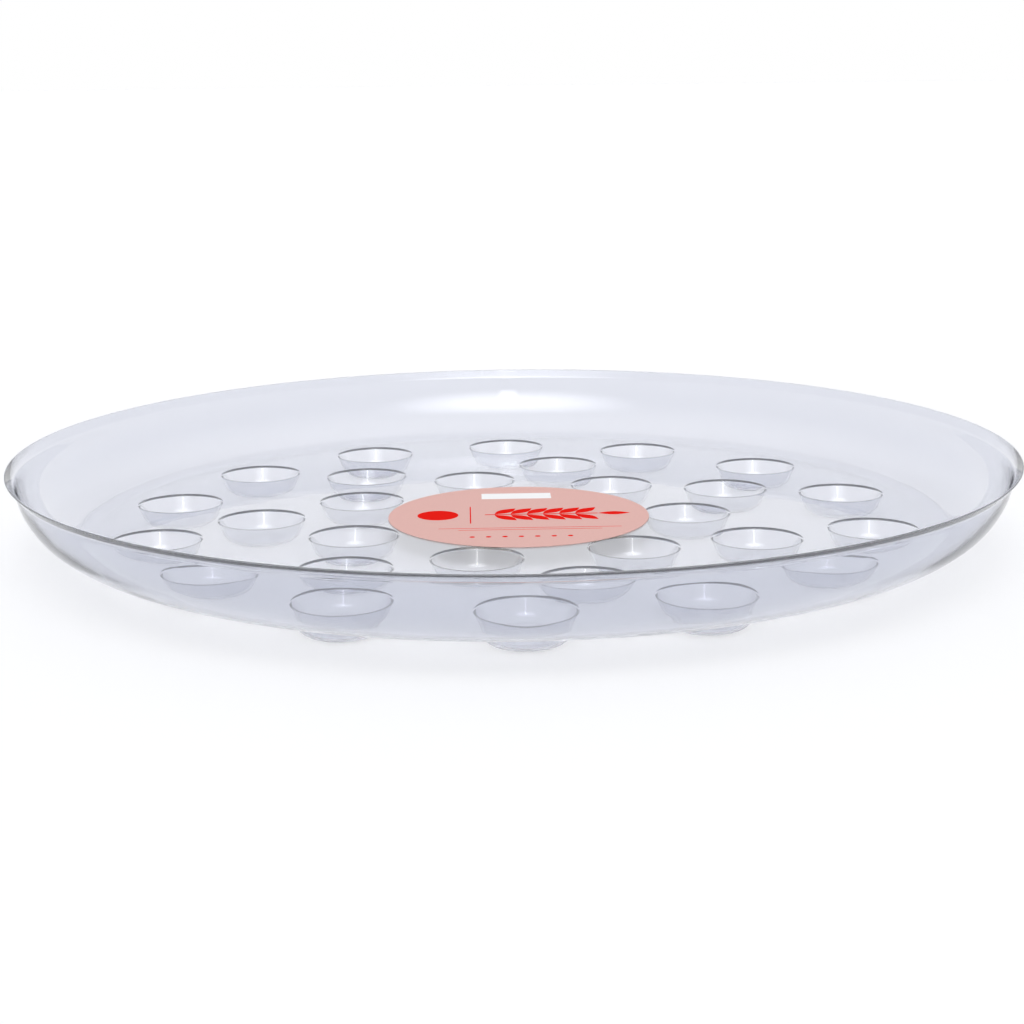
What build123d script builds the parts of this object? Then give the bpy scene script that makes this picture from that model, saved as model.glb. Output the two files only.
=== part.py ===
# Clear thermoformed plant saucer with a stuck-on round label.
#
# One plastic sheet is drawn into a shallow pan with a flared lip. Three rings of hollow cups
# are drawn down from its floor, so the pan stands on their undersides with air beneath it.
# Millimetres, +Z up. The origin is the centre of the plane that the cup undersides stand on.

from build123d import *
import math
import os

# Sheet
SHEET_THICKNESS = 1.0

# Pan
RIM_DIAMETER = 406.4
RIM_ABOVE_FLOOR = 29.5
LIP_REACH = 3.2
LIP_RISE = 3.5
WALL_DRAFT_DEG = 12.0
CORNER_ROUND_INSIDE = 29.0
LIP_BEND_ROUND_UNDER = 1.5
WALL_LEAST_STRAIGHT = 1.0

# Foot cups, drawn down from the floor
FOOT_DEPTH = 9.75
FOOT_MOUTH_RADIUS = 17.4
FOOT_DRAFT_DEG = 22.0
FOOT_MOUTH_ROUND_UNDER = 0.2
FOOT_TOE_ROUND_INSIDE = 5.0
FOOT_MOUTH_LAND = 0.6

# Rings of foot cups. The outer ring has two cups for each one of the other rings.
FOOT_TO_CORNER_GAP = 4.942
FOOT_LEAST_GAP = 25.0
MIDDLE_RING_INSET = 41.9
INNER_RING_INSET = 32.7
FIRST_FOOT_DEG = -90.0

# Label
LABEL_RADIUS = 54.0
LABEL_PAPER_THICKNESS = 0.25
LABEL_GLUE_THICKNESS = 0.1
LABEL_GLUE_MARGIN = 1.0
LABEL_OFFSET_X = 1.8
LABEL_OFFSET_Y = -0.9

# Section of the pan's upper side, worked out from the sizes above
FLOOR_TOP = FOOT_DEPTH
RIM_TOP = FLOOR_TOP + RIM_ABOVE_FLOOR
LIP_SLOPE = math.atan2(LIP_RISE, LIP_REACH)
WALL_SLOPE = math.radians(90 - WALL_DRAFT_DEG)
RIM_RADIUS = RIM_DIAMETER / 2 - SHEET_THICKNESS * math.sin(LIP_SLOPE)
LIP_BEND_RADIUS = RIM_RADIUS - LIP_REACH
LIP_BEND_HEIGHT = RIM_TOP - LIP_RISE
LIP_BEND_RUN = (LIP_BEND_ROUND_UNDER + SHEET_THICKNESS) * math.tan((WALL_SLOPE - LIP_SLOPE) / 2)
WALL_LENGTH = (LIP_BEND_HEIGHT - FLOOR_TOP) / math.sin(WALL_SLOPE)
CORNER_RADIUS = LIP_BEND_RADIUS - WALL_LENGTH * math.cos(WALL_SLOPE)

# The corner's round is limited by its wall, which keeps a short straight stretch
CORNER_RUN_LIMIT = WALL_LENGTH - LIP_BEND_RUN - WALL_LEAST_STRAIGHT
CORNER_RUN = min(CORNER_ROUND_INSIDE * math.tan(WALL_SLOPE / 2), CORNER_RUN_LIMIT)
CORNER_ROUND = CORNER_RUN / math.tan(WALL_SLOPE / 2)
FLAT_FLOOR_RADIUS = CORNER_RADIUS - CORNER_RUN

# A cup takes over from the flat floor past its mouth, the round there and a flat land
FOOT_SLOPE = math.radians(90 - FOOT_DRAFT_DEG)
FOOT_MOUTH_RUN = (FOOT_MOUTH_ROUND_UNDER + SHEET_THICKNESS) * math.tan(FOOT_SLOPE / 2)
FOOT_HOLE_RADIUS = FOOT_MOUTH_RADIUS + FOOT_MOUTH_RUN + FOOT_MOUTH_LAND

# The outer ring lies just inside the corner, and holds as many pairs of cups as its length has room for
OUTER_RING_RADIUS = FLAT_FLOOR_RADIUS - FOOT_TO_CORNER_GAP - FOOT_HOLE_RADIUS
MIDDLE_RING_RADIUS = OUTER_RING_RADIUS - MIDDLE_RING_INSET
INNER_RING_RADIUS = MIDDLE_RING_RADIUS - INNER_RING_INSET
FOOT_PITCH = 2 * FOOT_HOLE_RADIUS + FOOT_LEAST_GAP
FOOT_SECTORS = math.floor(math.pi * OUTER_RING_RADIUS / FOOT_PITCH)


def offset_path(points, distance):
    """The corner points of a section path moved sideways, to the right of its travel."""
    normals = []
    for (x0, y0), (x1, y1) in zip(points, points[1:]):
        length = math.hypot(x1 - x0, y1 - y0)
        normals.append(((y1 - y0) / length, (x0 - x1) / length))
    before = [normals[0]] + normals
    after = normals + [normals[-1]]
    moved = []
    for (x, y), a, b in zip(points, before, after):
        reach = distance / (1 + a[0] * b[0] + a[1] * b[1])
        moved.append((x + reach * (a[0] + b[0]), y + reach * (a[1] + b[1])))
    return moved


def formed_sheet(points, small_rounds, upper_is_hollow):
    """Solid of the sheet turned about Z along a section path, which runs outwards on its upper side.

    Both sides of a bend share one centre, so the hollow side has the small round and the other side
    has one sheet thickness more.
    """
    large_rounds = [small + SHEET_THICKNESS for small in small_rounds]
    bends = list(zip(small_rounds, large_rounds, upper_is_hollow))
    upper_rounds = [small if hollow else large for small, large, hollow in bends]
    under_rounds = [large if hollow else small for small, large, hollow in bends]
    under_points = offset_path(points, SHEET_THICKNESS)
    upper = FilletPolyline(*points, radius=upper_rounds)
    under = FilletPolyline(*under_points, radius=under_rounds)
    inner_end = Line(points[0], under_points[0])
    outer_end = Line(points[-1], under_points[-1])
    section = make_face([*upper.edges(), *outer_end.edges(), *under.edges(), *inner_end.edges()])
    return revolve(Plane.XZ * section, Axis.Z)


def pan():
    """The pan before its cups are drawn: flat floor, rounded corner, drafted wall and flared lip."""
    points = [
        (0, FLOOR_TOP),
        (CORNER_RADIUS, FLOOR_TOP),
        (LIP_BEND_RADIUS, LIP_BEND_HEIGHT),
        (RIM_RADIUS, RIM_TOP),
    ]
    return formed_sheet(points, [CORNER_ROUND, LIP_BEND_ROUND_UNDER], [True, False])


def foot_cup():
    """One hollow cup about Z, from its flat underside up to the land that joins the floor."""
    inside_bottom = SHEET_THICKNESS
    toe_run = (FLOOR_TOP - inside_bottom) / math.tan(FOOT_SLOPE)
    points = [
        (0, inside_bottom),
        (FOOT_MOUTH_RADIUS - toe_run, inside_bottom),
        (FOOT_MOUTH_RADIUS, FLOOR_TOP),
        (FOOT_HOLE_RADIUS, FLOOR_TOP),
    ]
    return formed_sheet(points, [FOOT_TOE_ROUND_INSIDE, FOOT_MOUTH_ROUND_UNDER], [True, False])


def foot_places():
    """Places of the cups: an outer ring, and two sparser rings in the gaps that it leaves."""
    outer_pitch = 360 / (2 * FOOT_SECTORS)
    middle_start = FIRST_FOOT_DEG + outer_pitch / 2
    inner_start = middle_start + outer_pitch
    rings = [
        (OUTER_RING_RADIUS, FIRST_FOOT_DEG, 2 * FOOT_SECTORS),
        (MIDDLE_RING_RADIUS, middle_start, FOOT_SECTORS),
        (INNER_RING_RADIUS, inner_start, FOOT_SECTORS),
    ]
    return [place for radius, start, count in rings for place in PolarLocations(radius, count, start)]


def saucer():
    """The whole formed sheet: the pan with every cup let into a hole of its own size in the floor."""
    places = foot_places()
    hole = extrude(Plane.XY.offset(FLOOR_TOP - SHEET_THICKNESS) * Circle(FOOT_HOLE_RADIUS), SHEET_THICKNESS)
    cup = foot_cup()
    floor_with_holes = pan() - [place * hole for place in places]
    return floor_with_holes + [place * cup for place in places]


def label_disc(radius, under_side, thickness):
    """A flat disc at the label's place."""
    base = Plane((LABEL_OFFSET_X, LABEL_OFFSET_Y, under_side))
    return extrude(base * Circle(radius), thickness)


def label_glue():
    """The coat of glue under the label, kept back from the paper's edge."""
    return label_disc(LABEL_RADIUS - LABEL_GLUE_MARGIN, FLOOR_TOP, LABEL_GLUE_THICKNESS)


def label_paper():
    """The printed paper disc on its glue."""
    return label_disc(LABEL_RADIUS, FLOOR_TOP + LABEL_GLUE_THICKNESS, LABEL_PAPER_THICKNESS)


def main():
    os.makedirs("parts", exist_ok=True)
    pieces = {"saucer": saucer(), "label_glue": label_glue(), "label_paper": label_paper()}
    for name, piece in pieces.items():
        solids = piece.solids()
        print(name, len(solids), "solid, volume", round(sum(solid.volume for solid in solids)))
        export_step(piece, f"parts/{name}.step")


main()
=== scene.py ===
# Clear plant saucer: a thin formed sheet with drawn cups, and a round paper label on its floor.
# Metres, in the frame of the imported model.

import bmesh
import bpy
import math
from mathutils import Matrix, Vector


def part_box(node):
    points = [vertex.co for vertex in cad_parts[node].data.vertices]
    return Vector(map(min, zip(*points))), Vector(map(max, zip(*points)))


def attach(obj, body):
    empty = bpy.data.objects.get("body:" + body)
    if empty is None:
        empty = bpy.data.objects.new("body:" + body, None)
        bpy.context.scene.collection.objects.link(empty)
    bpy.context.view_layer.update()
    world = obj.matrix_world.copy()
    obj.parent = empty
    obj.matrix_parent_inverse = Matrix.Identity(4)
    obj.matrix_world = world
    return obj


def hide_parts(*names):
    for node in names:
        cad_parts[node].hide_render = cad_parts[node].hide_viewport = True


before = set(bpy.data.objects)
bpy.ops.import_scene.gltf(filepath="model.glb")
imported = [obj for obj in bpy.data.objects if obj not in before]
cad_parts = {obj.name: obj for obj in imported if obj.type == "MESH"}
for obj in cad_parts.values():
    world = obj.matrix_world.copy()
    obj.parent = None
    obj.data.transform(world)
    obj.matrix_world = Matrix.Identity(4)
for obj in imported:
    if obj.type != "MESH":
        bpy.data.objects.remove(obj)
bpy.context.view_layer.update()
print("frame loaded:", sorted(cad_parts))

scene = bpy.context.scene
scene.view_settings.view_transform = "Standard"
upAxis = Vector((0, 0, 1))
mergeDistance = 1e-6
levelSlack = 1e-5


# Helpers for pieces

def finishPiece(name, bm, material, smooth=True):
    mesh = bpy.data.meshes.new(name)
    for face in bm.faces:
        face.smooth = smooth
    bm.to_mesh(mesh)
    bm.free()
    mesh.materials.append(material)
    piece = bpy.data.objects.new(name, mesh)
    scene.collection.objects.link(piece)
    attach(piece, "root")
    return piece


def roundCorner(bm, vert, radius, turn, steps):
    # a vertex bevel on a bare line rounds that corner; its run along each side is the tangent's length
    bmesh.ops.bevel(bm, geom=[vert], offset=radius * math.tan(turn / 2), offset_type="OFFSET",
                    segments=steps, profile=0.5, affect="VERTICES", material=-1)


def drawSection(points, corners):
    # the section stands in the XZ plane; corners holds (index, radius, turn, steps)
    bm = bmesh.new()
    verts = [bm.verts.new((x, 0, z)) for x, z in points]
    for a, b in zip(verts, verts[1:]):
        bm.edges.new((a, b))
    for index, radius, turn, steps in corners:
        roundCorner(bm, verts[index], radius, turn, steps)
    return bm


def turnSection(bm, around):
    bmesh.ops.spin(bm, geom=bm.verts[:] + bm.edges[:], cent=(0, 0, 0), axis=upAxis,
                   angle=math.tau, steps=around, use_merge=True)
    bmesh.ops.remove_doubles(bm, verts=bm.verts[:], dist=mergeDistance)


def raiseFaces(bm, thickness):
    # flat faces become closed slabs of that thickness
    raised = bmesh.ops.extrude_face_region(bm, geom=bm.faces[:])["geom"]
    upper = [g for g in raised if isinstance(g, bmesh.types.BMVert)]
    bmesh.ops.translate(bm, verts=upper, vec=upAxis * thickness)
    bmesh.ops.recalc_face_normals(bm, faces=bm.faces[:])


def addCopy(bm, source, place):
    # source goes into bm at that place
    copy = source.copy()
    copy.transform(place)
    mesh = bpy.data.meshes.new("scratch")
    copy.to_mesh(mesh)
    copy.free()
    bm.from_mesh(mesh)
    bpy.data.meshes.remove(mesh)


# Helpers for materials

def newMaterial(name):
    material = bpy.data.materials.new(name)
    material.use_nodes = True
    nodes = material.node_tree.nodes
    return material, nodes, material.node_tree.links, nodes["Principled BSDF"]


def addNoise(nodes, links, scale, detail, coords):
    noise = nodes.new("ShaderNodeTexNoise")
    noise.inputs["Scale"].default_value = scale
    noise.inputs["Detail"].default_value = detail
    links.new(coords, noise.inputs["Vector"])
    return noise.outputs["Fac"]


def fade(nodes, links, value, start, end, smooth=True):
    # from 0 at start to 1 at end
    step = nodes.new("ShaderNodeMapRange")
    step.interpolation_type = "SMOOTHSTEP" if smooth else "LINEAR"
    step.inputs["From Min"].default_value = start
    step.inputs["From Max"].default_value = end
    links.new(value, step.inputs["Value"])
    return step.outputs["Result"]


def joinValues(nodes, links, operation, *values):
    # each value is a socket or a plain number
    joined = nodes.new("ShaderNodeMath")
    joined.operation = operation
    for socket, value in zip(joined.inputs, values):
        if isinstance(value, (int, float)):
            socket.default_value = value
        else:
            links.new(value, socket)
    return joined.outputs["Value"]


def mixColours(nodes, links, factor, first, second):
    mix = nodes.new("ShaderNodeMix")
    mix.data_type = "RGBA"
    mix.inputs["A"].default_value = first
    mix.inputs["B"].default_value = second
    links.new(factor, mix.inputs["Factor"])
    return mix.outputs["Result"]


def shaded(colour, share):
    return [min(1, c * share) for c in colour[:3]] + [1]


# Clear vinyl

vinyl = {
    "cupTint": (0.87, 0.88, 0.92, 1),
    "wallTint": (0.775, 0.79, 0.845, 1),
    "tintFrom": 0.006,
    "tintTo": 0.024,
    "shadowTint": (0.80, 0.80, 0.81, 1),
    "ior": 1.47,
    "roughness": 0.02,
    "clarity": 0.93,
    "cutTint": (0.90, 0.91, 0.94, 1),
    "cutRoughness": 0.5,
    "cutClarity": 0.8,
    "waveScale": 26,
    "waveDetail": 2,
    "waveHeight": 0.00012,
}


def clearVinyl():
    material, nodes, links, plastic = newMaterial("clearVinyl")
    coords = nodes.new("ShaderNodeTexCoord").outputs["Object"]
    # the drawn cups are thinner, so they are clearer than the wall
    split = nodes.new("ShaderNodeSeparateXYZ")
    links.new(coords, split.inputs["Vector"])
    height = fade(nodes, links, split.outputs["Z"], vinyl["tintFrom"], vinyl["tintTo"], smooth=False)
    tint = mixColours(nodes, links, height, vinyl["cupTint"], vinyl["wallTint"])
    links.new(tint, plastic.inputs["Base Color"])
    plastic.inputs["Roughness"].default_value = vinyl["roughness"]
    plastic.inputs["IOR"].default_value = vinyl["ior"]
    # what isn't clear is a faint haze in the sheet
    plastic.inputs["Transmission Weight"].default_value = vinyl["clarity"]
    wave = nodes.new("ShaderNodeBump")
    wave.inputs["Strength"].default_value = 1
    wave.inputs["Distance"].default_value = vinyl["waveHeight"]
    ripple = addNoise(nodes, links, vinyl["waveScale"], vinyl["waveDetail"], coords)
    links.new(ripple, wave.inputs["Height"])
    links.new(wave.outputs["Normal"], plastic.inputs["Normal"])
    # light from the sky also shines straight through the sheet
    through = nodes.new("ShaderNodeBsdfTransparent")
    through.inputs["Color"].default_value = vinyl["shadowTint"]
    rays = nodes.new("ShaderNodeLightPath")
    mix = nodes.new("ShaderNodeMixShader")
    links.new(rays.outputs["Is Shadow Ray"], mix.inputs["Fac"])
    links.new(plastic.outputs["BSDF"], mix.inputs[1])
    links.new(through.outputs["BSDF"], mix.inputs[2])
    links.new(mix.outputs["Shader"], nodes["Material Output"].inputs["Surface"])
    return material


def cutVinyl():
    # the trimmed edge of the sheet is frosted
    material, nodes, links, plastic = newMaterial("cutVinyl")
    plastic.inputs["Base Color"].default_value = vinyl["cutTint"]
    plastic.inputs["Roughness"].default_value = vinyl["cutRoughness"]
    plastic.inputs["IOR"].default_value = vinyl["ior"]
    plastic.inputs["Transmission Weight"].default_value = vinyl["cutClarity"]
    return material


# Saucer: the upper side of the sheet, with its thickness put under it

saucer = {
    "sheet": 0.001,
    "rimAboveFloor": 0.0295,
    "lipReach": 0.0032,
    "lipRise": 0.0035,
    "lipBendRound": 0.0025,
    "lipBendSteps": 6,
    "wallDraft": math.radians(12),
    "cornerRound": 0.029,
    "cornerSteps": 24,
    "cornerLand": 0.002,
    "footDraft": math.radians(22),
    "mouthRadius": 0.0174,
    "mouthRound": 0.0012,
    "mouthSteps": 8,
    "mouthLand": 0.0006,
    "toeRound": 0.005,
    "toeSteps": 7,
    "toeFlatShare": 0.4,
    "rimEdge": 0.0005,
    "rimEdgeRound": 0.00012,
    "rimEdgeSteps": 3,
    "rimEdgeAngle": math.radians(50),
    "thinFrom": 0.010,  # above the floor
    "thinTo": 0.0055,  # below the rim
    "around": 384,
    "footAround": 56,
    "sectors": 7,
    "rings": ((0.1465, 2, 0), (0.1046, 1, 0.25), (0.0719, 1, 0.75)),  # radius, cups and turn in each sector
    "firstFoot": math.radians(-90),
}


def panWall(floorTop, rimRadius, rimTop):
    s = saucer
    wallSlope = math.pi / 2 - s["wallDraft"]
    lipSlope = math.atan2(s["lipRise"], s["lipReach"])
    bend = (rimRadius - s["lipReach"], rimTop - s["lipRise"])
    corner = (bend[0] - (bend[1] - floorTop) * math.tan(s["wallDraft"]), floorTop)
    floorEdge = corner[0] - s["cornerRound"] * math.tan(wallSlope / 2)
    points = [(floorEdge - s["cornerLand"], floorTop), corner, bend, (rimRadius, rimTop)]
    bm = drawSection(points, [(1, s["cornerRound"], wallSlope, s["cornerSteps"]),
                              (2, s["lipBendRound"], wallSlope - lipSlope, s["lipBendSteps"])])
    turnSection(bm, s["around"])
    return bm


def footCup(floorTop):
    s = saucer
    slope = math.pi / 2 - s["footDraft"]
    toe = s["mouthRadius"] - (floorTop - s["sheet"]) * math.tan(s["footDraft"])
    hole = s["mouthRadius"] + s["mouthRound"] * math.tan(slope / 2) + s["mouthLand"]
    points = [(0, s["sheet"]), (toe * s["toeFlatShare"], s["sheet"]), (toe, s["sheet"]),
              (s["mouthRadius"], floorTop), (hole, floorTop)]
    bm = drawSection(points, [(2, s["toeRound"], slope, s["toeSteps"]),
                              (3, s["mouthRound"], slope, s["mouthSteps"])])
    turnSection(bm, s["footAround"])
    return bm


def footPlaces():
    s = saucer
    sector = math.tau / s["sectors"]
    for radius, cups, turn in s["rings"]:
        for i in range(s["sectors"] * cups):
            angle = s["firstFoot"] + sector * (i / cups + turn)
            yield Matrix.Rotation(angle, 4, "Z") @ Matrix.Translation((radius, 0, 0))


def formSheet(floorTop, rimRadius, rimTop):
    bm = panWall(floorTop, rimRadius, rimTop)
    cup = footCup(floorTop)
    for place in footPlaces():
        addCopy(bm, cup, place)
    cup.free()
    # the flat floor fills what is left between the wall and the cups
    openEdges = [e for e in bm.edges
                 if e.is_boundary and all(abs(v.co.z - floorTop) < levelSlack for v in e.verts)]
    bmesh.ops.triangle_fill(bm, use_beauty=True, edges=openEdges, normal=upAxis)
    bmesh.ops.remove_doubles(bm, verts=bm.verts[:], dist=mergeDistance)
    bmesh.ops.recalc_face_normals(bm, faces=bm.faces[:])
    lowest = min(bm.faces, key=lambda f: f.calc_center_median().z)
    if lowest.normal.z < 0:
        bmesh.ops.reverse_faces(bm, faces=bm.faces[:])
    return bm


def thickenSheet(piece, floorTop, rimTop):
    s = saucer
    # the drawn wall thins upwards, and its lip is as thin as the trimmed edge
    thinLow, thinHigh = floorTop + s["thinFrom"], rimTop - s["thinTo"]
    full = piece.vertex_groups.new(name="fullSheet")
    for v in piece.data.vertices:
        share = (thinHigh - v.co.z) / (thinHigh - thinLow)
        full.add([v.index], min(1, max(0, share)), "REPLACE")
    wall = piece.modifiers.new("sheet", "SOLIDIFY")
    wall.vertex_group = full.name
    wall.thickness_vertex_group = s["rimEdge"] / s["sheet"]
    wall.material_offset_rim = 1
    wall.thickness = s["sheet"]
    wall.offset = -1
    wall.use_even_offset = True
    wall.use_quality_normals = True
    edge = piece.modifiers.new("rimEdge", "BEVEL")
    edge.width = s["rimEdgeRound"]
    edge.segments = s["rimEdgeSteps"]
    edge.material = 1
    edge.limit_method = "ANGLE"
    edge.angle_limit = s["rimEdgeAngle"]


def formSaucer(material, edgeMaterial):
    s = saucer
    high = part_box("saucer")[1]
    lipSlope = math.atan2(s["lipRise"], s["lipReach"])
    floorTop = high.z - s["rimAboveFloor"]
    rimRadius = high.x - s["rimEdge"] * math.sin(lipSlope)
    bm = formSheet(floorTop, rimRadius, high.z)
    piece = finishPiece("clear_saucer", bm, material)
    piece.data.materials.append(edgeMaterial)
    thickenSheet(piece, floorTop, high.z)
    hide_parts("saucer")
    return piece


saucerPiece = formSaucer(clearVinyl(), cutVinyl())
print("saucer formed:", len(saucerPiece.data.polygons), "faces on its upper side")


# Label

label = {
    "paper": (0.76, 0.47, 0.42, 1),
    "red": (0.80, 0.015, 0.01, 1),
    "white": (0.93, 0.93, 0.91, 1),
    "roughness": 0.7,
    "fibreScale": 900,
    "fibreDetail": 4,
    "fibreShades": (0.95, 1.05),
    "fibreHeight": 0.00003,
    "around": 160,
    "edgeRound": 0.00008,
    "edgeSteps": 2,
    "edgeAngle": 1,
    "inkThick": 0.00002,
    "dot": (-0.0335, 0.001, 0.0085),  # x, y and radius
    "dotSteps": 64,
    "panel": (0, 0.0355, 0.030, 0.0105),  # x, y, width and height
    "rules": ((-0.0200, 0.001, 0.0005, 0.030), (0.004, -0.0225, 0.074, 0.0005),
              (0.004, -0.0255, 0.058, 0.0005)),
    "beads": (7, 0.0065, -0.0370, 0.0011),  # count, pitch, y and radius
    "beadSteps": 20,
    "stem": (-0.0140, 0.001, 0.047, 0.0011),  # x, y, length and thickness
    "leaves": 6,
    "leafLength": 0.0135,
    "leafWidth": 0.0056,
    "leafLean": math.radians(48),
    "leafSteps": 12,
    "firstLeaf": 0.6,  # in pitches along the stem
    "leafRoot": 0.6,  # in stem thicknesses from its middle
}


def printedPaper():
    material, nodes, links, paper = newMaterial("printedPaper")
    coords = nodes.new("ShaderNodeTexCoord").outputs["Object"]
    fibres = addNoise(nodes, links, label["fibreScale"], label["fibreDetail"], coords)
    shades = [shaded(label["paper"], share) for share in label["fibreShades"]]
    links.new(mixColours(nodes, links, fibres, *shades), paper.inputs["Base Color"])
    paper.inputs["Roughness"].default_value = label["roughness"]
    paper.inputs["Specular IOR Level"].default_value = 0
    bump = nodes.new("ShaderNodeBump")
    bump.inputs["Distance"].default_value = label["fibreHeight"]
    links.new(fibres, bump.inputs["Height"])
    links.new(bump.outputs["Normal"], paper.inputs["Normal"])
    return material


def plainInk(name, colour):
    material, nodes, links, ink = newMaterial(name)
    ink.inputs["Base Color"].default_value = colour
    ink.inputs["Roughness"].default_value = label["roughness"]
    ink.inputs["Specular IOR Level"].default_value = 0
    return material


def addFlat(bm, points):
    bm.faces.new([bm.verts.new((x, y, 0)) for x, y in points])


def discPoints(x, y, radius, steps):
    turns = [math.tau * i / steps for i in range(steps)]
    return [(x + radius * math.cos(a), y + radius * math.sin(a)) for a in turns]


def boxPoints(x, y, wide, high):
    return [(x + i * wide / 2, y + j * high / 2) for i, j in ((-1, -1), (1, -1), (1, 1), (-1, 1))]


def leafPoints(x, y, turn):
    # one side out to the tip and the other side back
    steps = label["leafSteps"]
    along = [i / steps for i in range(steps + 1)]
    near = [(t * label["leafLength"], -label["leafWidth"] / 2 * math.sin(math.pi * t)) for t in along]
    far = [(u, -v) for u, v in near[-2:0:-1]]
    c, s = math.cos(turn), math.sin(turn)
    return [(x + c * u - s * v, y + s * u + c * v) for u, v in near + far]


def printSprig(bm):
    x, y, long, thick = label["stem"]
    addFlat(bm, boxPoints(x + long / 2, y, long, thick))
    pitch = long / (label["leaves"] + 1)
    for i in range(label["leaves"]):
        for side in (-1, 1):
            root = (x + pitch * (i + label["firstLeaf"]), y + side * thick * label["leafRoot"])
            addFlat(bm, leafPoints(*root, side * label["leafLean"]))
    addFlat(bm, leafPoints(x + long, y, 0))


def printLabel(paperHigh, centre):
    marks = bmesh.new()
    addFlat(marks, discPoints(*label["dot"], label["dotSteps"]))
    for rule in label["rules"]:
        addFlat(marks, boxPoints(*rule))
    count, pitch, y, radius = label["beads"]
    for i in range(count):
        addFlat(marks, discPoints(pitch * (i - (count - 1) / 2), y, radius, label["beadSteps"]))
    printSprig(marks)
    panel = bmesh.new()
    addFlat(panel, boxPoints(*label["panel"]))
    place = (centre.x, centre.y, paperHigh)
    for name, bm, colour in (("label_print", marks, label["red"]), ("label_panel", panel, label["white"])):
        raiseFaces(bm, label["inkThick"])
        bmesh.ops.translate(bm, verts=bm.verts[:], vec=place)
        finishPiece(name, bm, plainInk(name, colour), smooth=False)


def layLabel(material):
    low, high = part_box("label_paper")
    centre = (low + high) / 2
    bm = bmesh.new()
    bmesh.ops.create_circle(bm, cap_ends=True, segments=label["around"], radius=(high.x - low.x) / 2)
    raiseFaces(bm, high.z - low.z)
    rims = [e for e in bm.edges if e.calc_face_angle(0) > label["edgeAngle"]]
    bmesh.ops.bevel(bm, geom=rims, offset=label["edgeRound"], offset_type="OFFSET",
                    segments=label["edgeSteps"], profile=0.5, affect="EDGES", material=-1)
    bmesh.ops.translate(bm, verts=bm.verts[:], vec=(centre.x, centre.y, low.z))
    piece = finishPiece("label_disc", bm, material, smooth=False)
    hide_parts("label_paper")
    printLabel(high.z, centre)


layLabel(printedPaper())
print("label laid")


# Glue under the label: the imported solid, with a look of its own

glue = {
    "colour": (0.72, 0.68, 0.58, 1),
    "blotchScale": 120,
    "blotchDetail": 3,
    "blotchShades": (0.9, 1.08),
    "roughness": 0.6,
}


def dullGlue():
    material, nodes, links, film = newMaterial("dullGlue")
    coords = nodes.new("ShaderNodeTexCoord").outputs["Object"]
    blotches = addNoise(nodes, links, glue["blotchScale"], glue["blotchDetail"], coords)
    shades = [shaded(glue["colour"], share) for share in glue["blotchShades"]]
    links.new(mixColours(nodes, links, blotches, *shades), film.inputs["Base Color"])
    film.inputs["Roughness"].default_value = glue["roughness"]
    return material


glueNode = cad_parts["label_glue"]
glueNode.data.materials.clear()
glueNode.data.materials.append(dullGlue())
print("glue coloured")


# Studio

studio = {
    "floorSize": 60,
    "floorGap": 0.0001,
    "floorColour": (0.65, 0.65, 0.65, 1),
    "floorGlow": 0.37,
    "horizon": (0.10, (1, 1, 1, 1)),  # height in the sky and colour
    "middle": (0.28, (0.82, 0.83, 0.86, 1)),
    "zenith": (0.6, (0.52, 0.53, 0.57, 1)),
    "softboxTowards": (0.0, -0.574, 0.819),
    "softboxCore": 0.10,
    "softboxEdge": 0.52,
    "softboxStrength": 4.5,
    "stripCore": 0.016,
    "stripEdge": 0.048,
    "stripBottom": (0.49, 0.53),  # the ends fade between these
    "stripTop": (-0.45, -0.65),
    "stripStrength": 4.0,
}


def buildFloor():
    bm = bmesh.new()
    bmesh.ops.create_grid(bm, x_segments=1, y_segments=1, size=studio["floorSize"] / 2)
    mesh = bpy.data.meshes.new("studioFloor")
    bm.to_mesh(mesh)
    bm.free()
    floor = bpy.data.objects.new("studioFloor", mesh)
    floor.location.z = -studio["floorGap"]
    scene.collection.objects.link(floor)
    material, nodes, links, matt = newMaterial("whiteFloor")
    matt.inputs["Base Color"].default_value = studio["floorColour"]
    matt.inputs["Roughness"].default_value = 1
    matt.inputs["Specular IOR Level"].default_value = 0
    # a little glow for what sees the floor brings it to white, and its shadow stays
    rays = nodes.new("ShaderNodeLightPath").outputs
    seen = joinValues(nodes, links, "MAXIMUM", rays["Is Camera Ray"], rays["Is Glossy Ray"])
    seen = joinValues(nodes, links, "MAXIMUM", seen, rays["Is Transmission Ray"])
    glow = joinValues(nodes, links, "MULTIPLY", seen, studio["floorGlow"])
    matt.inputs["Emission Color"].default_value = (1, 1, 1, 1)
    links.new(glow, matt.inputs["Emission Strength"])
    mesh.materials.append(material)


def skyRamp(nodes, links, height):
    ramp = nodes.new("ShaderNodeValToRGB")
    stops = ramp.color_ramp.elements
    stops[0].position, stops[0].color = studio["horizon"]
    stops[1].position, stops[1].color = studio["zenith"]
    stops.new(studio["middle"][0]).color = studio["middle"][1]
    links.new(height, ramp.inputs["Fac"])
    return ramp.outputs["Color"]


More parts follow.
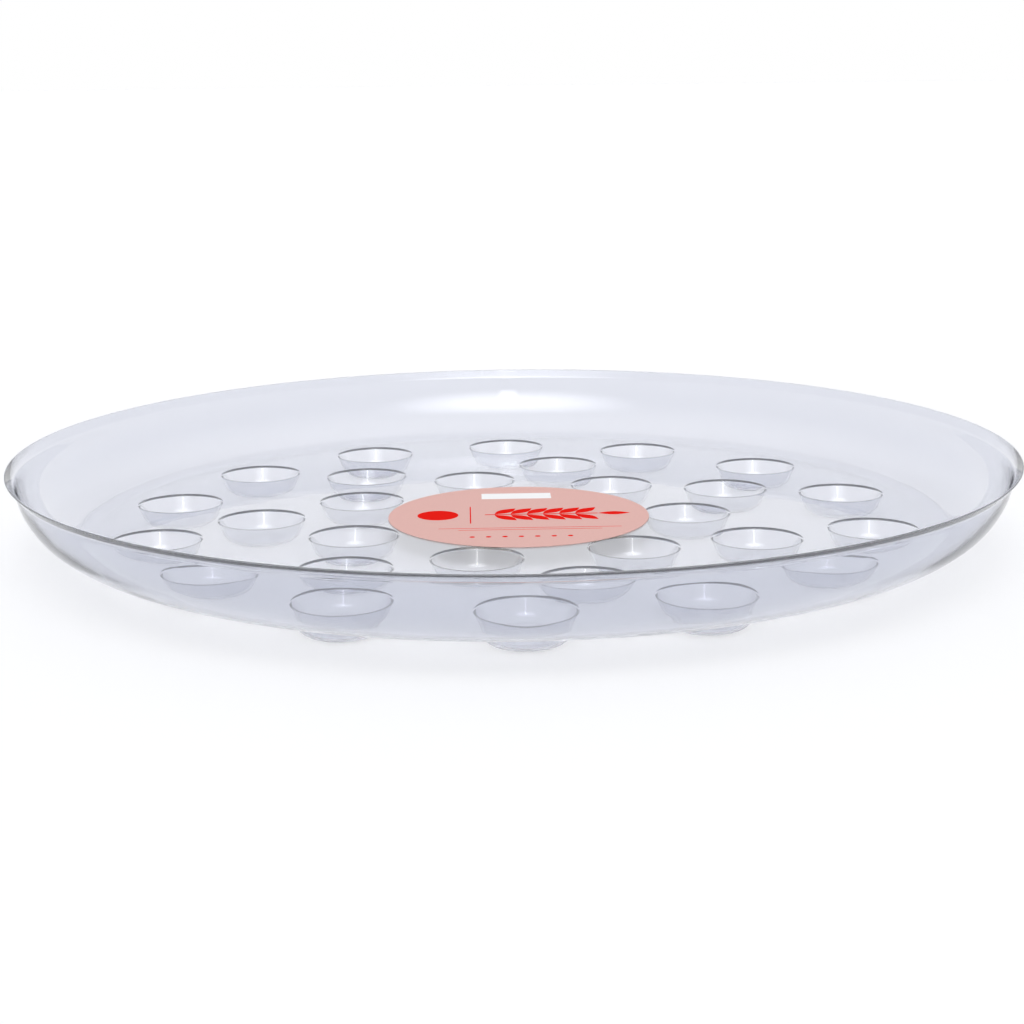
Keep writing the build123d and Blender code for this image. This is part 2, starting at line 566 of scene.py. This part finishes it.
def buildSky():
    world = bpy.data.worlds.new("paleStudio")
    world.use_nodes = True
    nodes = world.node_tree.nodes
    links = world.node_tree.links
    towards = nodes.new("ShaderNodeTexCoord").outputs["Generated"]
    split = nodes.new("ShaderNodeSeparateXYZ")
    links.new(towards, split.inputs["Vector"])
    x, y, z = (split.outputs[axis] for axis in "XYZ")
    # a round softbox above and behind the camera, which fades towards its edge
    away = nodes.new("ShaderNodeVectorMath")
    away.operation = "DISTANCE"
    away.inputs[1].default_value = studio["softboxTowards"]
    links.new(towards, away.inputs[0])
    box = fade(nodes, links, away.outputs["Value"], studio["softboxEdge"], studio["softboxCore"])
    box = joinValues(nodes, links, "MULTIPLY", box, studio["softboxStrength"])
    # a narrow strip of brighter light runs up into it
    side = joinValues(nodes, links, "ABSOLUTE", x)
    strip = fade(nodes, links, side, studio["stripEdge"], studio["stripCore"])
    bottom = fade(nodes, links, z, *studio["stripBottom"])
    top = fade(nodes, links, y, *studio["stripTop"])
    for part in (bottom, top, studio["stripStrength"]):
        strip = joinValues(nodes, links, "MULTIPLY", strip, part)
    total = nodes.new("ShaderNodeVectorMath")
    total.operation = "ADD"
    links.new(skyRamp(nodes, links, z), total.inputs[0])
    links.new(joinValues(nodes, links, "ADD", box, strip), total.inputs[1])
    links.new(total.outputs["Vector"], nodes["Background"].inputs["Color"])
    scene.world = world


buildFloor()
buildSky()
print("studio set")


# Camera

camera = {
    "place": (-0.01935, -0.75505, 0.18855),
    "heading": math.radians(-1.4),
    "pitch": math.radians(13.219),
    "roll": math.radians(-0.613),
    "focalPixels": 1867.15,
    "framePixels": 1024,
    "nearest": 0.01,
    "furthest": 200,
}


def placeCamera():
    c = camera
    lens = bpy.data.cameras.new("photoView")
    lens.sensor_fit = "HORIZONTAL"
    lens.lens = c["focalPixels"] / c["framePixels"] * lens.sensor_width
    lens.clip_start = c["nearest"]
    lens.clip_end = c["furthest"]
    view = bpy.data.objects.new("photoView", lens)
    turn = (Matrix.Rotation(c["heading"], 4, "Z") @ Matrix.Rotation(math.pi / 2 - c["pitch"], 4, "X")
            @ Matrix.Rotation(c["roll"], 4, "Z"))
    view.matrix_world = Matrix.Translation(c["place"]) @ turn
    scene.collection.objects.link(view)
    scene.camera = view


placeCamera()
print("camera placed")
